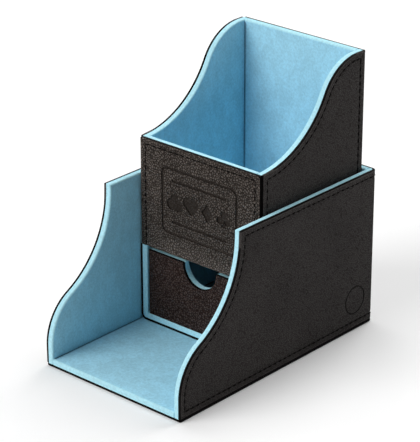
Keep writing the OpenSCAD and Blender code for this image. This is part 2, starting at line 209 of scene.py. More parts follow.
def pebbled_leather(name, tone, grain, depth, rough, shine, contrast):
    """Full-grain calf, drum-milled and pigment-finished: rounded pebbles that catch small lights, with the creases
    between them painted dark as shade.
    """
    m, fresh = new_material(name)
    if not fresh:
        return m
    finishes = bpy.context.scene.card_box_finishes
    place = add(m, "ShaderNodeTexCoord", {}, {}).outputs["Object"]
    # Milling drags the pebbles out of round by about a third of their width
    drag = add(m, "ShaderNodeTexNoise", {"Scale": 0.45 / grain, "Detail": 2.0}, {"Vector": place})
    dragged = add(
        m, "ShaderNodeVectorMath", {"operation": "MULTIPLY_ADD", 1: (grain, grain, grain)},
        {0: drag.outputs["Color"], 2: place},
    )
    pebbles = add(
        m, "ShaderNodeTexVoronoi", {"feature": "DISTANCE_TO_EDGE", "Scale": 1 / grain, "Randomness": 0.95},
        {"Vector": dragged.outputs["Vector"]},
    )
    crown = add(
        m, "ShaderNodeMapRange", {"interpolation_type": "SMOOTHSTEP", "From Max": 0.24},
        {"Value": pebbles.outputs["Distance"]},
    )
    cells = add(
        m, "ShaderNodeTexVoronoi", {"Scale": 1 / grain, "Randomness": 0.95}, {"Vector": dragged.outputs["Vector"]}
    )
    # Pores of about 0.15 mm
    pores = add(m, "ShaderNodeTexNoise", {"Scale": 1 / (0.15 * MM), "Detail": 3.0}, {"Vector": place})
    # The hide takes the dye unevenly over a few centimetres
    dye = add(m, "ShaderNodeTexNoise", {"Scale": 1 / (28 * MM), "Detail": 3.0}, {"Vector": place})
    height = add(
        m, "ShaderNodeMath", {"operation": "MULTIPLY_ADD", 1: 0.2},
        {0: pores.outputs["Fac"], 2: crown.outputs["Result"]},
    )
    dyed = add(
        m, "ShaderNodeHueSaturation", {"Color": tone},
        {"Value": add(
            m, "ShaderNodeMapRange", {"From Min": 0.3, "From Max": 0.7, "To Min": 0.86, "To Max": 1.14},
            {"Value": dye.outputs["Fac"]},
        ).outputs["Result"]},
    )
    pebble_tone = add(
        m, "ShaderNodeHueSaturation", {},
        {
            "Color": dyed.outputs["Color"],
            "Value": add(
                m, "ShaderNodeMapRange", {"To Min": 1 - contrast / 3, "To Max": 1 + contrast / 3}, {"Value": cells.outputs["Color"]}
            ).outputs["Result"],
        },
    )
    # Painted shade: the creases between the pebbles are darkened towards the crease colour
    crease_shaded = add(
        m, "ShaderNodeMix", {"data_type": "RGBA", 6: finishes.crease_shade},
        {0: add(
            m, "ShaderNodeMapRange", {"To Min": 1 - 2.7 * contrast}, {"Value": crown.outputs["Result"]}
        ).outputs["Result"], 7: pebble_tone.outputs["Color"]},
    )
    # Painted shade and pooled dye: the leather darkens towards the crease colour along the sunk seam
    sunk = add(m, "ShaderNodeAttribute", {"attribute_name": "groove"}, {})
    pooled_dye_and_shade = add(
        m, "ShaderNodeMix", {"data_type": "RGBA", 7: finishes.crease_shade},
        {0: add(
            m, "ShaderNodeMapRange", {"From Min": 0.35, "To Max": 0.8}, {"Value": sunk.outputs["Fac"]}
        ).outputs["Result"], 6: crease_shaded.outputs[2]},
    )
    # Painted highlight and wear: the rim is made lighter, partly for the light its rounded edge catches and partly for
    # the burnish of handling
    rim_highlight_and_wear = add(m, "ShaderNodeAttribute", {"attribute_name": "rim"}, {})
    rim_lit_and_worn = add(
        m, "ShaderNodeHueSaturation", {},
        {
            "Color": pooled_dye_and_shade.outputs[2],
            "Value": add(
                m, "ShaderNodeMapRange", {"To Min": 1.0, "To Max": 1.9}, {"Value": rim_highlight_and_wear.outputs["Fac"]}
            ).outputs["Result"],
        },
    )
    roughness = add(
        m, "ShaderNodeMapRange", {"To Min": 0.8, "To Max": rough}, {"Value": crown.outputs["Result"]}
    )
    # The finish is polished on the crowns and missing in the creases
    shown = add(
        m, "ShaderNodeMapRange", {"From Min": 0.2, "To Max": shine}, {"Value": crown.outputs["Result"]}
    )
    bump = add(m, "ShaderNodeBump", {"Distance": depth}, {"Height": height.outputs["Value"]})
    surface(
        m, {"IOR": 1.5},
        {
            "Base Color": rim_lit_and_worn.outputs["Color"], "Roughness": roughness.outputs["Result"],
            "Specular IOR Level": shown.outputs["Result"], "Normal": bump.outputs["Normal"],
        },
    )
    return m


def face_leather():
    finishes = bpy.context.scene.card_box_finishes
    return pebbled_leather("face leather, milled calf", finishes.face, finishes.face_grain, 0.9 * MM, 0.5, 0.2, 0.27)


# Painted shade: the drawer's face gets a darker, redder copy of the face leather, partly for its redder tone and partly
# for the shade it sits in
def drawer_leather():
    finishes = bpy.context.scene.card_box_finishes
    return pebbled_leather("drawer leather, milled calf", finishes.drawer, finishes.face_grain, 0.9 * MM, 0.5, 0.2, 0.24)


def cover_leather():
    finishes = bpy.context.scene.card_box_finishes
    return pebbled_leather("cover leather, milled calf", finishes.cover, finishes.cover_grain, 0.14 * MM, 0.5, 0.1, 0.09)


def pressed_leather():
    """Calf under a heated die: the pebbles are ironed nearly flat, so it is smoother and a little glossier; its colour
    is the face leather darkened to a third, as painted shade in the pressed lines.
    """
    finishes = bpy.context.scene.card_box_finishes
    return pebbled_leather(
        "pressed leather, ironed calf", [c * 0.3 for c in finishes.face[:3]] + [1], finishes.face_grain, 0.04 * MM, 0.5, 0.1, 0.1
    )


def pressed_cover():
    """The ring mark's line, pressed into the cover over each magnet."""
    finishes = bpy.context.scene.card_box_finishes
    return pebbled_leather(
        "pressed cover, ironed calf", [c * 0.35 for c in finishes.cover[:3]] + [1], finishes.cover_grain, 0.03 * MM, 0.5, 0.05, 0.1
    )


def edge_paint():
    """Acrylic edge paint, brushed and sanded on the cut edge of the leather: dark, even, with faint strokes."""
    m, fresh = new_material("edge paint, brushed acrylic")
    if fresh:
        finishes = bpy.context.scene.card_box_finishes
        place = add(m, "ShaderNodeTexCoord", {}, {}).outputs["Object"]
        strokes = add(m, "ShaderNodeTexNoise", {"Scale": 1 / (0.5 * MM), "Detail": 2.0}, {"Vector": place})
        tone = add(
            m, "ShaderNodeHueSaturation", {"Color": finishes.edge},
            {"Value": add(
                m, "ShaderNodeMapRange", {"To Min": 0.6, "To Max": 1.5}, {"Value": strokes.outputs["Fac"]}
            ).outputs["Result"]},
        )
        rough = add(m, "ShaderNodeMapRange", {"To Min": 0.4, "To Max": 0.7}, {"Value": strokes.outputs["Fac"]})
        bump = add(m, "ShaderNodeBump", {"Distance": 0.06 * MM}, {"Height": strokes.outputs["Fac"]})
        surface(
            m, {"IOR": 1.49, "Specular IOR Level": 0.03},
            {"Base Color": tone.outputs["Color"], "Roughness": rough.outputs["Result"], "Normal": bump.outputs["Normal"]},
        )
    return m


def suede_lining():
    """Microfibre suede, needled and buffed: soft and matt, with a faint halo and hand marks where the nap lies another way."""
    m, fresh = new_material("lining, microfibre suede")
    if fresh:
        finishes = bpy.context.scene.card_box_finishes
        place = add(m, "ShaderNodeTexCoord", {}, {}).outputs["Object"]
        # Hand marks of about 7 mm, longer than they are high
        marks = add(
            m, "ShaderNodeTexNoise", {"Scale": 1 / (7 * MM), "Detail": 4.0, "Roughness": 0.6, "Distortion": 0.4},
            {"Vector": add(m, "ShaderNodeMapping", {"Scale": (1, 1, 0.6)}, {"Vector": place}).outputs["Vector"]},
        )
        # Fibre tufts of about 1.2 mm
        tufts = add(m, "ShaderNodeTexNoise", {"Scale": 1 / (1.2 * MM), "Detail": 3.0, "Roughness": 0.7}, {"Vector": place})
        lie = add(
            m, "ShaderNodeMapRange", {"interpolation_type": "SMOOTHSTEP", "From Min": 0.35, "From Max": 0.65},
            {"Value": marks.outputs["Fac"]},
        )
        brushed = add(
            m, "ShaderNodeHueSaturation", {"Color": finishes.lining},
            {"Value": add(
                m, "ShaderNodeMapRange", {"To Min": 0.94, "To Max": 1.04}, {"Value": lie.outputs["Result"]}
            ).outputs["Result"]},
        )
        # Painted highlight: the lining is made lighter on the crest over each edge, which faces up and forwards into
        # the light
        crest = add(m, "ShaderNodeAttribute", {"attribute_name": "crest"}, {})
        crest_lit = add(
            m, "ShaderNodeMix", {"data_type": "RGBA", 7: finishes.lining_crest_highlight},
            {0: crest.outputs["Fac"], 6: brushed.outputs["Color"]},
        )
        # Painted shade: the flat of each lining is darkened along its inner corners, where two linings meet
        seam = add(m, "ShaderNodeAttribute", {"attribute_name": "seam"}, {})
        cornered = add(
            m, "ShaderNodeMix", {"data_type": "RGBA", 7: finishes.lining_corner_shade},
            {0: seam.outputs["Fac"], 6: crest_lit.outputs[2]},
        )
        flecked = add(
            m, "ShaderNodeHueSaturation", {},
            {
                "Color": cornered.outputs[2],
                "Value": add(
                    m, "ShaderNodeMapRange", {"From Min": 0.3, "From Max": 0.7, "To Min": 0.89, "To Max": 1.1},
                    {"Value": tufts.outputs["Fac"]},
                ).outputs["Result"],
            },
        )
        rough = add(m, "ShaderNodeMapRange", {"To Min": 0.82, "To Max": 0.96}, {"Value": tufts.outputs["Fac"]})
        bump = add(m, "ShaderNodeBump", {"Distance": 0.08 * MM}, {"Height": tufts.outputs["Fac"]})
        surface(
            m, {
                "IOR": 1.45, "Specular IOR Level": 0.0, "Sheen Weight": 0.03, "Sheen Roughness": 0.5,
                "Sheen Tint": linear("#bfe4fa"),
            },
            {"Base Color": flecked.outputs["Color"], "Roughness": rough.outputs["Result"], "Normal": bump.outputs["Normal"]},
        )
    return m


def greyboard():
    """Greyboard, pressed from waste paper: matt grey-brown, with short fibres and dark specks."""
    m, fresh = new_material("core, pressed greyboard")
    if fresh:
        finishes = bpy.context.scene.card_box_finishes
        place = add(m, "ShaderNodeTexCoord", {}, {}).outputs["Object"]
        fibres = add(
            m, "ShaderNodeTexNoise", {"Scale": 1 / (0.6 * MM), "Detail": 4.0, "Distortion": 2.0}, {"Vector": place}
        )
        specks = add(m, "ShaderNodeTexVoronoi", {"Scale": 1 / (2.2 * MM)}, {"Vector": place})
        speck = add(
            m, "ShaderNodeMapRange", {"From Min": 0.05, "From Max": 0.12, "To Min": 0.55}, {"Value": specks.outputs["Distance"]}
        )
        fibred = add(
            m, "ShaderNodeMapRange", {"From Min": 0.3, "From Max": 0.7, "To Min": 0.85, "To Max": 1.1},
            {"Value": fibres.outputs["Fac"]},
        )
        tone = add(
            m, "ShaderNodeHueSaturation", {"Color": finishes.board},
            {"Value": add(
                m, "ShaderNodeMath", {"operation": "MULTIPLY"}, {0: speck.outputs["Result"], 1: fibred.outputs["Result"]}
            ).outputs["Value"]},
        )
        rough = add(m, "ShaderNodeMapRange", {"To Min": 0.85, "To Max": 0.98}, {"Value": fibres.outputs["Fac"]})
        bump = add(m, "ShaderNodeBump", {"Distance": 0.05 * MM}, {"Height": fibres.outputs["Fac"]})
        surface(
            m, {"IOR": 1.45},
            {"Base Color": tone.outputs["Color"], "Roughness": rough.outputs["Result"], "Normal": bump.outputs["Normal"]},
        )
    return m


def plated_magnet():
    """Neodymium disc, barrel-plated in nickel: satin metal with fine tumbling scratches."""
    m, fresh = new_material("magnet, nickel plating")
    if fresh:
        finishes = bpy.context.scene.card_box_finishes
        place = add(m, "ShaderNodeTexCoord", {}, {}).outputs["Object"]
        scratches = add(
            m, "ShaderNodeTexNoise", {"Scale": 1 / (0.4 * MM), "Detail": 5.0},
            {"Vector": add(m, "ShaderNodeMapping", {"Scale": (1, 0.1, 1)}, {"Vector": place}).outputs["Vector"]},
        )
        tone = add(
            m, "ShaderNodeHueSaturation", {"Color": finishes.magnet},
            {"Value": add(
                m, "ShaderNodeMapRange", {"To Min": 0.85, "To Max": 1.05}, {"Value": scratches.outputs["Fac"]}
            ).outputs["Result"]},
        )
        rough = add(m, "ShaderNodeMapRange", {"To Min": 0.2, "To Max": 0.4}, {"Value": scratches.outputs["Fac"]})
        bump = add(m, "ShaderNodeBump", {"Distance": 0.01 * MM}, {"Height": scratches.outputs["Fac"]})
        surface(
            m, {"Metallic": 1.0},
            {"Base Color": tone.outputs["Color"], "Roughness": rough.outputs["Result"], "Normal": bump.outputs["Normal"]},
        )
    return m


def waxed_thread():
    """Waxed polyester thread of three twisted plies: dark, with a soft shine on each ply."""
    m, fresh = new_material("thread, waxed polyester")
    if fresh:
        finishes = bpy.context.scene.card_box_finishes
        place = add(m, "ShaderNodeTexCoord", {}, {}).outputs["Object"]
        # One ply every 0.35 mm along the thread
        plies = add(
            m, "ShaderNodeTexWave", {"bands_direction": "DIAGONAL", "Scale": 1 / (0.35 * MM) / 6.3, "Distortion": 0.6},
            {"Vector": place},
        )
        tone = add(
            m, "ShaderNodeHueSaturation", {"Color": finishes.thread},
            {"Value": add(
                m, "ShaderNodeMapRange", {"To Min": 0.6, "To Max": 1.6}, {"Value": plies.outputs["Fac"]}
            ).outputs["Result"]},
        )
        rough = add(m, "ShaderNodeMapRange", {"To Min": 0.7, "To Max": 0.45}, {"Value": plies.outputs["Fac"]})
        bump = add(m, "ShaderNodeBump", {"Distance": 0.08 * MM}, {"Height": plies.outputs["Fac"]})
        surface(
            m, {"IOR": 1.5, "Specular IOR Level": 0.03},
            {"Base Color": tone.outputs["Color"], "Roughness": rough.outputs["Result"], "Normal": bump.outputs["Normal"]},
        )
    return m


def studio_paper():
    """Matt white background paper. The camera sees it lifted to white, and it keeps the object's shadow."""
    m, fresh = new_material("floor, white paper")
    if fresh:
        studio = bpy.context.scene.card_box_studio
        place = add(m, "ShaderNodeTexCoord", {}, {}).outputs["Object"]
        tooth = add(m, "ShaderNodeTexNoise", {"Scale": 1 / (0.8 * MM), "Detail": 3.0}, {"Vector": place})
        bump = add(m, "ShaderNodeBump", {"Distance": 0.02 * MM}, {"Height": tooth.outputs["Fac"]})
        paper = add(m, "ShaderNodeBsdfDiffuse", {"Color": studio.floor}, {"Normal": bump.outputs["Normal"]})
        white = add(m, "ShaderNodeEmission", {}, {"Strength": seen(m, studio.lift, 0.0)})
        both = add(m, "ShaderNodeAddShader", {}, {0: paper.outputs["BSDF"], 1: white.outputs["Emission"]})
        add(m, "ShaderNodeOutputMaterial", {}, {"Surface": both.outputs["Shader"]})
    return m


def seen(owner, shown, unseen):
    """A value for what the camera sees, straight, in gloss or through glass, and another for the light on the object."""
    path = add(owner, "ShaderNodeLightPath", {}, {})
    reflected = add(
        owner, "ShaderNodeMath", {"operation": "MAXIMUM"},
        {0: path.outputs["Is Glossy Ray"], 1: path.outputs["Is Transmission Ray"]},
    )
    either = add(
        owner, "ShaderNodeMath", {"operation": "MAXIMUM"}, {0: path.outputs["Is Camera Ray"], 1: reflected.outputs["Value"]}
    )
    return add(
        owner, "ShaderNodeMapRange", {"To Min": unseen, "To Max": shown}, {"Value": either.outputs["Value"]}
    ).outputs["Result"]


# ---- shaping -----------------------------------------------------------------


def copied(node):
    """A bmesh of a CAD node, its loose triangles joined into whole faces."""
    bm = bmesh.new()
    bm.from_mesh(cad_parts[node].data)
    bmesh.ops.remove_doubles(bm, verts=bm.verts, dist=0.002 * MM)
    join_flats(bm)
    return bm


def join_flats(bm):
    """Joins the faces that lie in one plane."""
    bmesh.ops.dissolve_limit(bm, angle_limit=math.radians(0.5), verts=bm.verts, edges=bm.edges)


def smoothed_over(bm, marks):
    """Closes the pressed marks in a leather, so that its skin is whole while its rim is sewn."""
    inside = [f for f in bm.faces if all(marks(v.co) for v in f.verts)]
    bmesh.ops.delete(bm, geom=inside, context="FACES")
    bmesh.ops.holes_fill(bm, edges=[e for e in bm.edges if e.is_boundary], sides=0)
    join_flats(bm)


def slab(low, high):
    """A bmesh of a block between two corners."""
    bm = bmesh.new()
    middle = Matrix.Translation((low + high) / 2)
    bmesh.ops.create_cube(bm, size=1, matrix=middle @ Matrix.Diagonal((*(high - low), 1)))
    return bm


def round_off(bm, edges, radius, segments=3):
    """Rounds edges to a radius and returns the new vertices and faces."""
    return bmesh.ops.bevel(
        bm, geom=edges, offset=radius, offset_type="OFFSET", segments=segments, profile=0.5,
        affect="EDGES", material=-1, clamp_overlap=True,
    )


def outline(region):
    """The outline of a region of faces, as its vertices in order."""
    inside = set(region)
    beyond = {}
    for face in region:
        for loop in face.loops:
            if not any(other.face in inside for other in loop.edge.link_loops if other != loop):
                beyond[loop.vert] = loop.link_loop_next.vert
    first = next(iter(beyond))
    ring, vert = [first], beyond[first]
    while vert != first:
        ring.append(vert)
        vert = beyond[vert]
    if len(ring) != len(beyond):
        raise RuntimeError("the skin of a leather has more than one outline")
    return ring


def drawn_in(bm, region, distance):
    """Draws the outline of a region in by a distance and returns the line it leaves, with the leather's outward directions."""
    border = bmesh.ops.inset_region(
        bm, faces=region, thickness=distance, depth=0, use_boundary=True, use_even_offset=True
    )["faces"]
    whole = {*border, *region}
    return [
        (vert, sum((f.normal for f in vert.link_faces if f in whole), Vector()).normalized())
        for vert in outline(whole)
    ]


def corners_of(ring, angle):
    """Places in a closed line of vertices where it turns by more than an angle."""
    points = [vert.co for vert in ring]
    turns = [
        (points[i] - points[i - 1]).angle(points[(i + 1) % len(points)] - points[i]) for i in range(len(points))
    ]
    return [i for i, turn in enumerate(turns) if turn > angle]


def clear_corners(bm, region, reach):
    """Takes the short steps of a curve out within reach of each corner of a skin, so that the outline can be drawn in that far."""
    ring = outline(region)
    corners = corners_of(ring, math.radians(30))
    crossing = set()
    for corner in corners:
        for way in (1, -1):
            travelled, at = 0.0, corner
            while True:
                ahead = (at + way) % len(ring)
                travelled += (ring[ahead].co - ring[at].co).length
                at = ahead
                if travelled > reach or at in corners:
                    break
                crossing.update(e for e in ring[at].link_edges if not any(f in region for f in e.link_faces))
    bmesh.ops.dissolve_edges(bm, edges=list(crossing), use_verts=True)


def sewn(bm, region):
    """Works the rim of a leather skin into a welt, a sunk seam and a shoulder. Returns the seam as points and outward directions."""
    sizes = bpy.context.scene.card_box_sewing
    # The groove attribute carries the painted shade and pooled dye of the sunk seam
    groove = bm.verts.layers.float.new("groove")
    clear_corners(bm, region, 1.3 * (sizes.welt + sizes.seam + sizes.shoulder))
    drawn_in(bm, region, 2 * sizes.rim_round)
    drawn_in(bm, region, sizes.welt - 2 * sizes.rim_round)
    drawn_in(bm, region, sizes.seam / 2)
    seam = drawn_in(bm, region, sizes.seam / 2)
    foot = drawn_in(bm, region, sizes.shoulder)
    for vert, outward in seam:
        vert.co -= outward * sizes.sink
        vert[groove] = 1.0
    for vert, outward in foot:
        vert.co -= outward * sizes.sink * 0.35
    return [(vert.co.copy(), outward) for vert, outward in seam]


def painted(bm, region):
    """Gives the skin of a leather its own material and everything else the edge paint."""
    skin = set(region)
    for face in bm.faces:
        face.material_index = 0 if face in skin else 1


def skin_of(bm, outer):
    """The faces whose every corner lies on the outer side of a leather."""
    return [f for f in bm.faces if all(outer(v.co) for v in f.verts)]


def round_rim(bm, radius):
    """Rounds the edges between a leather's skin and its painted edge, and paints the rounding too."""
    rim = [e for e in bm.edges if len({f.material_index for f in e.link_faces}) == 2]
    for face in round_off(bm, rim, radius)["faces"]:
        face.material_index = 1


def mark_rim(bm):
    """Writes the attribute that the leather's painted highlight and wear follow: 1 on the rim, 0 away from it."""
    layer = bm.verts.layers.float.new("rim")
    for vert in bm.verts:
        vert[layer] = float(len({f.material_index for f in vert.link_faces}) == 2)


def paint_crest_highlight(crest, turned, normal, level):
    """Writes the attribute of the painted highlight that lightens the lining on its crest over an edge: 1 on the crest,
    0 on the flat.
    """
    for vert in turned:
        vert[crest] = float(abs(vert.co.dot(normal) - level) > 0.01 * MM)


def paint_corner_shade(bm, seam, normal, level, width):
    """Writes the attribute of the painted shade that darkens the flat of a lining along its square edges: 1 on the
    edge, 0 a little way in.
    """
    flat = [
        f for f in bm.faces if f.normal.dot(normal) > 0.999 and abs(f.verts[0].co.dot(normal) - level) < 0.01 * MM
    ]
    border = bmesh.ops.inset_region(
        bm, faces=flat, thickness=width, use_boundary=True, use_even_offset=True
    )["faces"]
    within = {vert for face in flat for vert in face.verts}
    for face in border:
        edge = next(e for e in face.edges if within.isdisjoint(e.verts))
        square = any(abs(other.normal.dot(normal)) < 0.01 for other in edge.link_faces if other != face)
        for loop in face.loops:
            loop[seam] = float(square and loop.vert not in within)


def finished(bm, name, body, slot, replaced, *materials):
    """Turns a bmesh into a piece that rides on a body and stands for CAD nodes."""
    bmesh.ops.recalc_face_normals(bm, faces=bm.faces)
    mesh = bpy.data.meshes.new(name)
    bm.to_mesh(mesh)
    bm.free()
    for material in materials:
        mesh.materials.append(material)
    mesh.polygons.foreach_set("use_smooth", [True] * len(mesh.polygons))
    mesh.set_sharp_from_angle(angle=math.radians(50))
    piece = bpy.data.objects.new(name, mesh)
    bpy.context.scene.collection.objects.link(piece)
    evened = piece.modifiers.new("Even shading", "WEIGHTED_NORMAL")
    evened.keep_sharp = True
    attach(piece, body)
    if replaced:
        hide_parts(*replaced)
    return piece


def repaint(nodes, material):
    """Gives carried-over CAD nodes their material."""
    for node in nodes:
        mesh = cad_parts[node].data
        mesh.materials.clear()
        mesh.materials.append(material)


def stitched(name, body, runs):
    """Lays stitches along the runs of seams, each a line of points and outward directions."""
    sizes = bpy.context.scene.card_box_sewing
    chance = random.Random(sizes.seed)
    one = bmesh.new()
    bmesh.ops.create_uvsphere(one, u_segments=8, v_segments=6, radius=1)
    stitch = bpy.data.meshes.new("stitch")
    one.to_mesh(stitch)
    one.free()
    bm = bmesh.new()
    for run in runs:
        for place in stitch_places(run, sizes, chance):
            laid = stitch.copy()
            laid.transform(place)
            bm.from_mesh(laid)
            bpy.data.meshes.remove(laid)
    bpy.data.meshes.remove(stitch)
    return finished(bm, name, body, "cover_leather", [], waxed_thread())


def straight_runs(seam):
    """Splits a closed seam at its corners into runs of points and outward directions."""
    count = len(seam)
    corners = []
    for i in range(count):
        before = seam[i][0] - seam[i - 1][0]
        after = seam[(i + 1) % count][0] - seam[i][0]
        if before.angle(after) > math.radians(30):
            corners.append(i)
    ends = corners[1:] + [corners[0] + count]
    return [[seam[i % count] for i in range(start, end + 1)] for start, end in zip(corners, ends)]


def stitch_places(run, sizes, chance):
    """Places of evenly spaced stitches along one run of a seam, for a ball of radius 1."""
    spans = [(b[0] - a[0]).length for a, b in zip(run, run[1:])]
    count = round(sum(spans) / sizes.pitch)
    if not count:
        return []
    pitch = sum(spans) / count
    reached, at = 0.0, 0
    places = []
    for k in range(count):
        middle = (k + 0.5) * pitch
        while reached + spans[at] < middle:
            reached += spans[at]
            at += 1
        share = (middle - reached) / spans[at]
        outward = run[at][1].lerp(run[at + 1][1], share).normalized()
        along = (run[at + 1][0] - run[at][0]).normalized()
        point = run[at][0].lerp(run[at + 1][0], share) + outward * sizes.thread * 0.3
        turn = Matrix((along, outward.cross(along), outward)).transposed().to_4x4()
        slant = Matrix.Rotation(sizes.slant + chance.uniform(-0.03, 0.03), 4, "Z")
        long = sizes.stitch * pitch / sizes.pitch * chance.uniform(0.95, 1.03) / 2
        size = Matrix.Diagonal((long, sizes.thread / 2, sizes.thread / 2, 1))
        places.append(Matrix.Translation(point) @ turn @ slant @ size)
    return places


def flat_ring(bm, face, line):
    """Turns a flat face into a ring of a line's width inside its outline, and returns the ring's faces."""
    ring = bmesh.ops.inset_individual(bm, faces=[face], thickness=line, use_even_offset=True)["faces"]
    bmesh.ops.delete(bm, geom=[face], context="FACES")
    return ring


def press(piece, bm, depth, place, material):
    """Presses flat shapes, drawn in the XY plane, into a piece to a depth, at a place whose Z axis points out of it."""
    clear = 0.5 * MM
    bmesh.ops.translate(bm, verts=bm.verts, vec=(0, 0, clear))
    sunk = bmesh.ops.extrude_face_region(bm, geom=bm.faces[:])["geom"]
    bmesh.ops.translate(
        bm, verts=[v for v in sunk if isinstance(v, bmesh.types.BMVert)], vec=(0, 0, -clear - depth)
    )
    bmesh.ops.transform(bm, matrix=place, verts=bm.verts)
    bmesh.ops.recalc_face_normals(bm, faces=bm.faces)
    mesh = bpy.data.meshes.new("die")
    bm.to_mesh(mesh)
    bm.free()
    mesh.materials.append(material)
    die = bpy.data.objects.new("die", mesh)
    bpy.context.scene.collection.objects.link(die)
    cut = piece.modifiers.new("Press", "BOOLEAN")
    cut.operation = "DIFFERENCE"
    cut.solver = "EXACT"
    cut.use_self = True
    cut.material_mode = "TRANSFER"
    cut.object = die
    piece.modifiers.move(len(piece.modifiers) - 1, 0)
    whole = bpy.data.meshes.new_from_object(piece.evaluated_get(bpy.context.evaluated_depsgraph_get()))
    piece.modifiers.remove(cut)
    whole.name, old = piece.data.name, piece.data
    piece.data = whole
    bpy.data.meshes.remove(old)
    bpy.data.objects.remove(die)
    bpy.data.meshes.remove(mesh)


# ---- pieces ------------------------------------------------------------------


class CARDBOX_OT_shell_leather(Operator):
    """Makes the shell's leathers: the cover round three sides, with its sewn rim and ring marks, and the sole."""

    bl_idname = "cardbox.shell_leather"
    bl_label = "Shell Leather"

    def execute(self, context):
        sizes = context.scene.card_box_sewing
        low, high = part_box("shell_cover")
        magnet_low, magnet_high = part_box("shell_magnets")
        ring_middle = (magnet_low + magnet_high) / 2
        ring_radius = (magnet_high.z - magnet_low.z) / 2 + 0.3 * MM
        corner = 2.6 * MM

        def outer(point):
            across = max(abs(point.x) - (high.x - corner), 0)
            behind = max(point.y - (high.y - corner), 0)
            return math.hypot(across, behind) > corner - 0.5 * MM

        def marked(point):
            away = math.hypot(point.y - ring_middle.y, point.z - ring_middle.z)
            return abs(point.x) > high.x - 0.5 * MM and away < ring_radius + 0.1 * MM

        bm = copied("shell_cover")
        smoothed_over(bm, marked)
        skin = skin_of(bm, outer)
        inner = set(bm.faces) - set(skin)
        seam = sewn(bm, skin)
        painted(bm, set(bm.faces) - inner)
        round_rim(bm, sizes.rim_round)
        mark_rim(bm)
        shell = finished(
            bm, "shell_leather", "shell", "cover_leather", ["shell_cover"], cover_leather(), edge_paint()
        )
        for side in (1, -1):
            ring = bmesh.new()
            disc = bmesh.ops.create_circle(ring, cap_ends=True, segments=96, radius=ring_radius)["verts"][0].link_faces[0]
            flat_ring(ring, disc, 0.7 * MM)
            place = Matrix.Translation((side * high.x, ring_middle.y, ring_middle.z))
            press(shell, ring, 0.35 * MM, place @ Matrix.Rotation(side * math.pi / 2, 4, "Y"), pressed_cover())
        stitched("shell_thread", "shell", straight_runs(seam))

        sole = copied("shell_sole")
        painted(sole, [f for f in sole.faces if abs(f.normal.z) > 0.5])
        round_rim(sole, sizes.rim_round)
        mark_rim(sole)
        finished(
            sole, "sole_leather", "shell", "cover_leather", ["shell_sole"], cover_leather(), edge_paint()
        )
        return {"FINISHED"}


class CARDBOX_OT_box_leather(Operator):
    """Makes the card box's leathers: the cover down one side, under the base and up the other, and the two panels."""

    bl_idname = "cardbox.box_leather"
    bl_label = "Card Box Leather"

    def execute(self, context):
        sizes = context.scene.card_box_sewing
        low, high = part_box("box_cover")
        corner = 3.2 * MM

        def outer(point):
            across = max(abs(point.x) - (high.x - corner), 0)
            below = max(low.z + corner - point.z, 0)
            return math.hypot(across, below) > corner - 0.5 * MM

        bm = copied("box_cover")
        skin = skin_of(bm, outer)
        inner = set(bm.faces) - set(skin)
        runs = straight_runs(sewn(bm, skin))
        painted(bm, set(bm.faces) - inner)
        round_rim(bm, sizes.rim_round)
        mark_rim(bm)
        finished(bm, "box_leather", "card_box", "cover_leather", ["box_cover"], cover_leather(), edge_paint())

        front, front_runs = sewn_panel("box_front_leather", FORWARDS, sizes.run_off)
        panel = finished(
            front, "front_panel_leather", "card_box", "face_leather", ["box_front_leather"], face_leather(), edge_paint()
        )
        press_pattern(panel, *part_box("box_front_leather"))

        back, back_runs = sewn_panel("box_back_leather", -FORWARDS, 0)
        finished(
            back, "back_panel_leather", "card_box", "cover_leather", ["box_back_leather"], cover_leather(), edge_paint()
        )
        stitched("box_thread", "card_box", runs + front_runs + back_runs)
        return {"FINISHED"}


def sewn_panel(node, outward, run_off):
    """A flat panel of leather with a sewn rim and rounded corners, in the place of a CAD node. With a run-off, it is sewn that much too long and cut off at the bottom, where no seam is left."""
    sizes = bpy.context.scene.card_box_sewing
    low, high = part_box(node)
    bm = slab(low - UPWARDS * run_off, high)
    skin = [f for f in bm.faces if f.normal.dot(outward) > 0.9]
    inner = set(bm.faces) - set(skin)
    seam = sewn(bm, skin)
    painted(bm, set(bm.faces) - inner)
    if run_off:
        bmesh.ops.bisect_plane(
            bm, geom=[*bm.verts, *bm.edges, *bm.faces], plane_co=low, plane_no=-UPWARDS, clear_outer=True
        )
        for face in bmesh.ops.holes_fill(bm, edges=[e for e in bm.edges if e.is_boundary], sides=0)["faces"]:
            face.material_index = 1
    sides = [f for f in bm.faces if abs(f.normal.x) > 0.99]
    ends = [f for f in bm.faces if abs(f.normal.z) > 0.99]
    corners = [e for e in bm.edges if any(f in sides for f in e.link_faces) and any(f in ends for f in e.link_faces)]
    round_off(bm, corners, 0.9 * MM)
    round_rim(bm, sizes.rim_round)
    mark_rim(bm)
    runs = [run for run in straight_runs(seam) if max(point.z for point, _ in run) > low.z]
    return bm, [[(Vector((*point.xy, max(point.z, low.z))), out) for point, out in run] for run in runs]


def suit_parts(size):
    """The four card suits of a height, each as discs and polygons: (x, y, radius, sides, turn, x stretch)."""
    side = 0.64 * size
    lobe = side / 2 / math.sqrt(2)
    stem = (0, -0.36 * size, 0.2 * size, 3, 0.0, 1.0)
    heart = [(0, 0, side / math.sqrt(2), 4, 0.0, 1.0)]
    heart += [(x, lobe, side / 2, 32, 0.0, 1.0) for x in (lobe, -lobe)]
    spade = [(x, -y + 0.06 * size, radius, sides, turn, stretch) for x, y, radius, sides, turn, stretch in heart]
    club = [(0, 0.24 * size, 0.22 * size, 32, 0.0, 1.0), (0, 0, 0.12 * size, 32, 0.0, 1.0)]
    club += [(x * size, -0.1 * size, 0.22 * size, 32, 0.0, 1.0) for x in (0.24, -0.24)]
    diamond = [(0, 0, 0.5 * size, 4, 0.0, 0.76)]
    return [spade + [stem], heart, diamond, club + [stem]]


